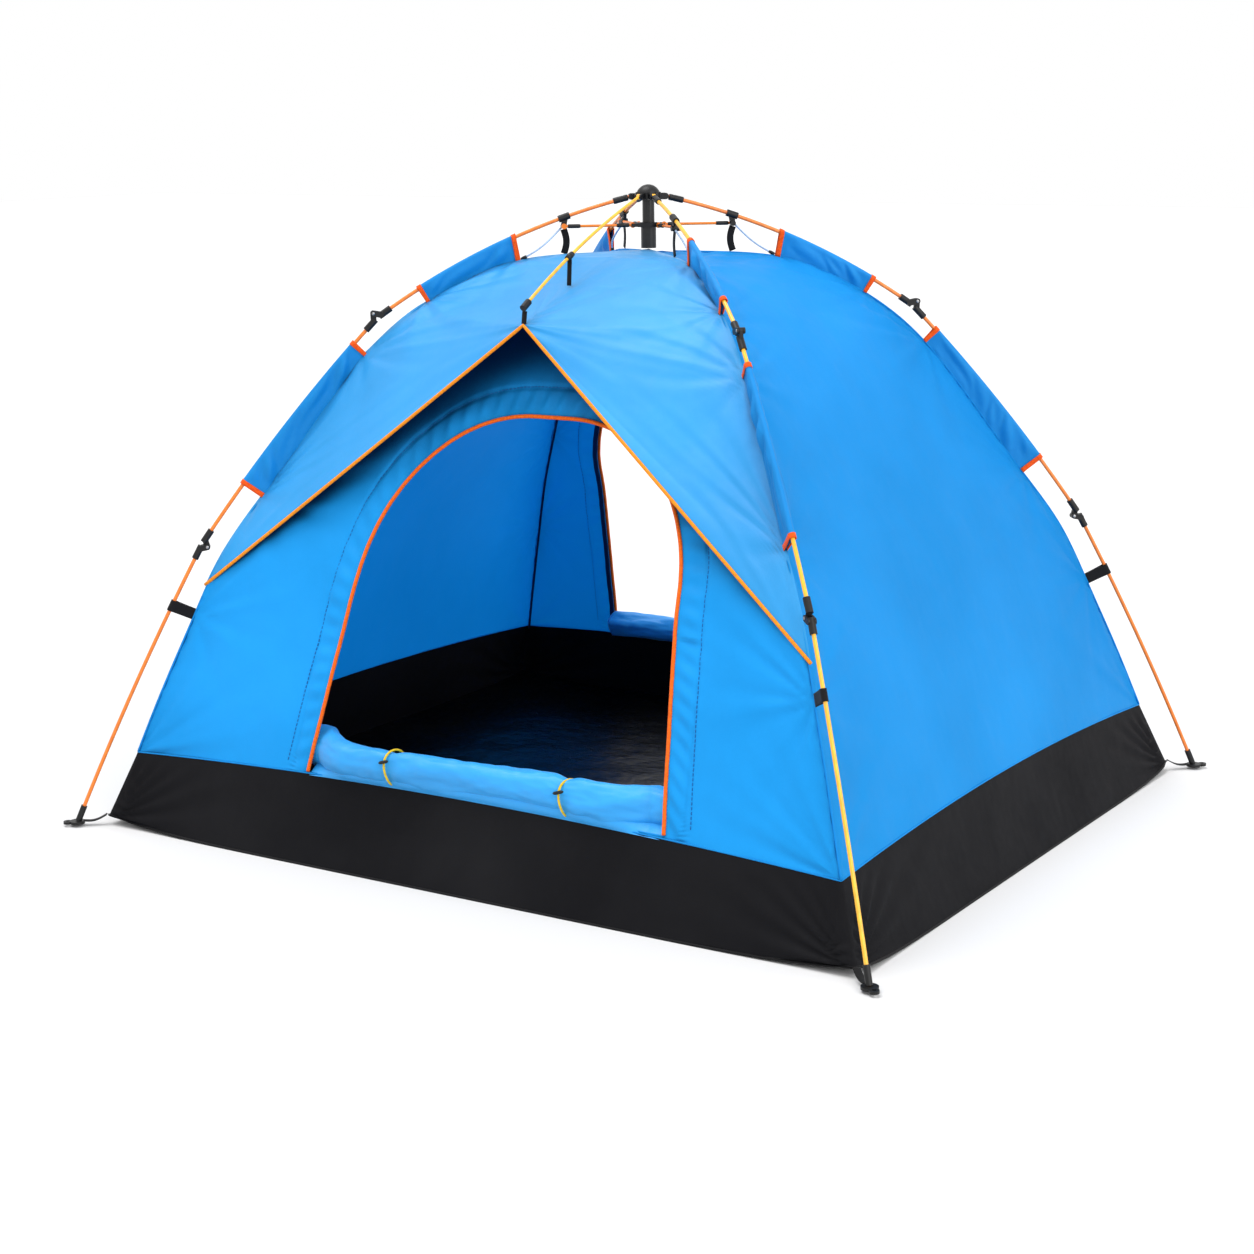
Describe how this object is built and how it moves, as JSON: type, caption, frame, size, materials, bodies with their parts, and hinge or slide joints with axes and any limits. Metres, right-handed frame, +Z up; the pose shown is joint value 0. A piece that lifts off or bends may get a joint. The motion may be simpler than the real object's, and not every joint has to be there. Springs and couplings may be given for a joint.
{
  "type": "pop-up dome tent",
  "caption": "Pop-up dome tent with an umbrella hub, folding sectioned legs, door openings front and back, and a front awning.",
  "frame": {"origin": "on the ground under the hub, at the middle of the plan", "axes": "+Z up, -Y out of the front door, +X to the right of the front door seen from outside"},
  "size_m": [2.0518, 1.7694, 1.408],
  "materials": {
    "blue_cloth": "satin",
    "floor_cloth": "satin",
    "base_cloth": "satin",
    "piping": "matte",
    "door_cloth": "satin",
    "sleeve_cloth": "matte",
    "black_webbing": "matte",
    "tie_webbing": "matte",
    "pole": "gloss",
    "yellow_pole": "gloss",
    "strut": "gloss",
    "tube": "satin",
    "black_plastic": "satin"
  },
  "bodies": {
    "shell": {"groundsheet": "floor_cloth", "base_band": "base_cloth", "wall_right": "blue_cloth", "wall_left": "blue_cloth", "wall_front": "blue_cloth", "wall_back": "blue_cloth", "front_door_piping": "piping", "back_door_piping": "piping", "awning": "blue_cloth", "awning_piping": "piping", "front_door_roll": "door_cloth", "back_door_roll": "door_cloth", "door_ties": "tie_webbing", "upper_sleeves": "sleeve_cloth", "middle_sleeves": "sleeve_cloth", "hanger_straps": "black_webbing", "pole_loops": "black_webbing", "corner_straps": "black_webbing"},
    "hub": {"upper_hub": "black_plastic", "inner_tube": "tube"},
    "slider": {"lower_hub": "black_plastic", "outer_tube": "black_plastic"},
    "awning_arm": {"awning_rod": "yellow_pole", "awning_rod_cap": "black_plastic"},
    "upper_front_left": {"upper_pole_front_left": "pole", "tee_connector_front_left": "black_plastic", "upper_clevis_front_left": "black_plastic"},
    "middle_front_left": {"middle_pole_front_left": "pole", "middle_tongues_front_left": "black_plastic"},
    "lower_front_left": {"lower_clevis_front_left": "black_plastic", "lower_pole_front_left": "pole", "foot_front_left": "black_plastic"},
    "strut_front_left": {"strut_front_left": "strut"},
    "upper_back_right": {"upper_pole_back_right": "pole", "tee_connector_back_right": "black_plastic", "upper_clevis_back_right": "black_plastic"},
    "middle_back_right": {"middle_pole_back_right": "pole", "middle_tongues_back_right": "black_plastic"},
    "lower_back_right": {"lower_clevis_back_right": "black_plastic", "lower_pole_back_right": "pole", "foot_back_right": "black_plastic"},
    "strut_back_right": {"strut_back_right": "strut"},
    "upper_front_right": {"upper_pole_front_right": "pole", "tee_connector_front_right": "black_plastic", "upper_clevis_front_right": "black_plastic"},
    "middle_front_right": {"middle_pole_front_right": "pole", "middle_tongues_front_right": "black_plastic"},
    "lower_front_right": {"lower_clevis_front_right": "black_plastic", "lower_pole_front_right": "pole", "foot_front_right": "black_plastic"},
    "strut_front_right": {"strut_front_right": "strut"},
    "upper_back_left": {"upper_pole_back_left": "pole", "tee_connector_back_left": "black_plastic", "upper_clevis_back_left": "black_plastic"},
    "middle_back_left": {"middle_pole_back_left": "pole", "middle_tongues_back_left": "black_plastic"},
    "lower_back_left": {"lower_clevis_back_left": "black_plastic", "lower_pole_back_left": "pole", "foot_back_left": "black_plastic"},
    "strut_back_left": {"strut_back_left": "strut"}
  },
  "joints": [
    {"name": "hub_lowering", "type": "slide", "parent": "shell", "child": "hub", "axis": [0, 0, 1], "range_m": [-0.41, 0], "deforming": ["base_band", "wall_right", "wall_left", "wall_front", "wall_back", "front_door_piping", "back_door_piping", "awning", "awning_piping", "front_door_roll", "back_door_roll", "door_ties", "upper_sleeves", "middle_sleeves", "hanger_straps", "pole_loops"]},
    {"name": "slider_rise", "type": "slide", "parent": "hub", "child": "slider", "axis": [0, 0, 1], "range_m": [0, 0.0505]},
    {"name": "awning_rod_fold", "type": "hinge", "parent": "hub", "child": "awning_arm", "pos_m": [0, -0.038, 1.382], "axis": [1, 0, 0], "range_deg": [0, 58.08]},
    {"name": "hub_hinge_front_left", "type": "hinge", "parent": "hub", "child": "upper_front_left", "pos_m": [-0.0288, -0.02479, 1.382], "axis": [0.6525, -0.7578, 0], "range_deg": [0, 58.42]},
    {"name": "upper_knee_front_left", "type": "hinge", "parent": "upper_front_left", "child": "middle_front_left", "pos_m": [-0.46592, -0.40116, 1.13786], "axis": [-0.6525, 0.7578, 0], "range_deg": [0, 196.48]},
    {"name": "lower_knee_front_left", "type": "hinge", "parent": "middle_front_left", "child": "lower_front_left", "pos_m": [-0.75714, -0.6519, 0.63023], "axis": [0.6525, -0.7578, 0], "range_deg": [0, 158.68]},
    {"name": "strut_hinge_front_left", "type": "hinge", "parent": "slider", "child": "strut_front_left", "pos_m": [-0.02804, -0.02414, 1.32], "axis": [0.6525, -0.7578, 0], "range_deg": [0, 79.54]},
    {"name": "hub_hinge_back_right", "type": "hinge", "parent": "hub", "child": "upper_back_right", "pos_m": [0.0288, 0.02479, 1.382], "axis": [-0.6525, 0.7578, 0], "range_deg": [0, 58.42]},
    {"name": "upper_knee_back_right", "type": "hinge", "parent": "upper_back_right", "child": "middle_back_right", "pos_m": [0.46592, 0.40116, 1.13786], "axis": [0.6525, -0.7578, 0], "range_deg": [0, 196.48]},
    {"name": "lower_knee_back_right", "type": "hinge", "parent": "middle_back_right", "child": "lower_back_right", "pos_m": [0.75714, 0.6519, 0.63023], "axis": [-0.6525, 0.7578, 0], "range_deg": [0, 158.68]},
    {"name": "strut_hinge_back_right", "type": "hinge", "parent": "slider", "child": "strut_back_right", "pos_m": [0.02804, 0.02414, 1.32], "axis": [-0.6525, 0.7578, 0], "range_deg": [0, 79.54]},
    {"name": "hub_hinge_front_right", "type": "hinge", "parent": "hub", "child": "upper_front_right", "pos_m": [0.0288, -0.02479, 1.382], "axis": [0.6525, 0.7578, 0], "range_deg": [0, 58.42]},
    {"name": "upper_knee_front_right", "type": "hinge", "parent": "upper_front_right", "child": "middle_front_right", "pos_m": [0.46592, -0.40116, 1.13786], "axis": [-0.6525, -0.7578, 0], "range_deg": [0, 196.48]},
    {"name": "lower_knee_front_right", "type": "hinge", "parent": "middle_front_right", "child": "lower_front_right", "pos_m": [0.75714, -0.6519, 0.63023], "axis": [0.6525, 0.7578, 0], "range_deg": [0, 158.68]},
    {"name": "strut_hinge_front_right", "type": "hinge", "parent": "slider", "child": "strut_front_right", "pos_m": [0.02804, -0.02414, 1.32], "axis": [0.6525, 0.7578, 0], "range_deg": [0, 79.54]},
    {"name": "hub_hinge_back_left", "type": "hinge", "parent": "hub", "child": "upper_back_left", "pos_m": [-0.0288, 0.02479, 1.382], "axis": [-0.6525, -0.7578, 0], "range_deg": [0, 58.42]},
    {"name": "upper_knee_back_left", "type": "hinge", "parent": "upper_back_left", "child": "middle_back_left", "pos_m": [-0.46592, 0.40116, 1.13786], "axis": [0.6525, 0.7578, 0], "range_deg": [0, 196.48]},
    {"name": "lower_knee_back_left", "type": "hinge", "parent": "middle_back_left", "child": "lower_back_left", "pos_m": [-0.75714, 0.6519, 0.63023], "axis": [-0.6525, -0.7578, 0], "range_deg": [0, 158.68]},
    {"name": "strut_hinge_back_left", "type": "hinge", "parent": "slider", "child": "strut_back_left", "pos_m": [-0.02804, 0.02414, 1.32], "axis": [-0.6525, -0.7578, 0], "range_deg": [0, 79.54]}
  ],
  "couplings": [
    {"joint": "slider_rise", "follows": "hub_lowering", "ratio": -0.12317},
    {"joint": "awning_rod_fold", "follows": "hub_lowering", "rad_per_m": -2.4724},
    {"joint": "hub_hinge_front_left", "follows": "hub_lowering", "rad_per_m": -2.4869},
    {"joint": "upper_knee_front_left", "follows": "hub_lowering", "rad_per_m": -8.364},
    {"joint": "lower_knee_front_left", "follows": "hub_lowering", "rad_per_m": -6.7548},
    {"joint": "strut_hinge_front_left", "follows": "hub_lowering", "rad_per_m": -3.3859},
    {"joint": "hub_hinge_back_right", "follows": "hub_lowering", "rad_per_m": -2.4869},
    {"joint": "upper_knee_back_right", "follows": "hub_lowering", "rad_per_m": -8.364},
    {"joint": "lower_knee_back_right", "follows": "hub_lowering", "rad_per_m": -6.7548},
    {"joint": "strut_hinge_back_right", "follows": "hub_lowering", "rad_per_m": -3.3859},
    {"joint": "hub_hinge_front_right", "follows": "hub_lowering", "rad_per_m": -2.4869},
    {"joint": "upper_knee_front_right", "follows": "hub_lowering", "rad_per_m": -8.364},
    {"joint": "lower_knee_front_right", "follows": "hub_lowering", "rad_per_m": -6.7548},
    {"joint": "strut_hinge_front_right", "follows": "hub_lowering", "rad_per_m": -3.3859},
    {"joint": "hub_hinge_back_left", "follows": "hub_lowering", "rad_per_m": -2.4869},
    {"joint": "upper_knee_back_left", "follows": "hub_lowering", "rad_per_m": -8.364},
    {"joint": "lower_knee_back_left", "follows": "hub_lowering", "rad_per_m": -6.7548},
    {"joint": "strut_hinge_back_left", "follows": "hub_lowering", "rad_per_m": -3.3859}
  ]
}
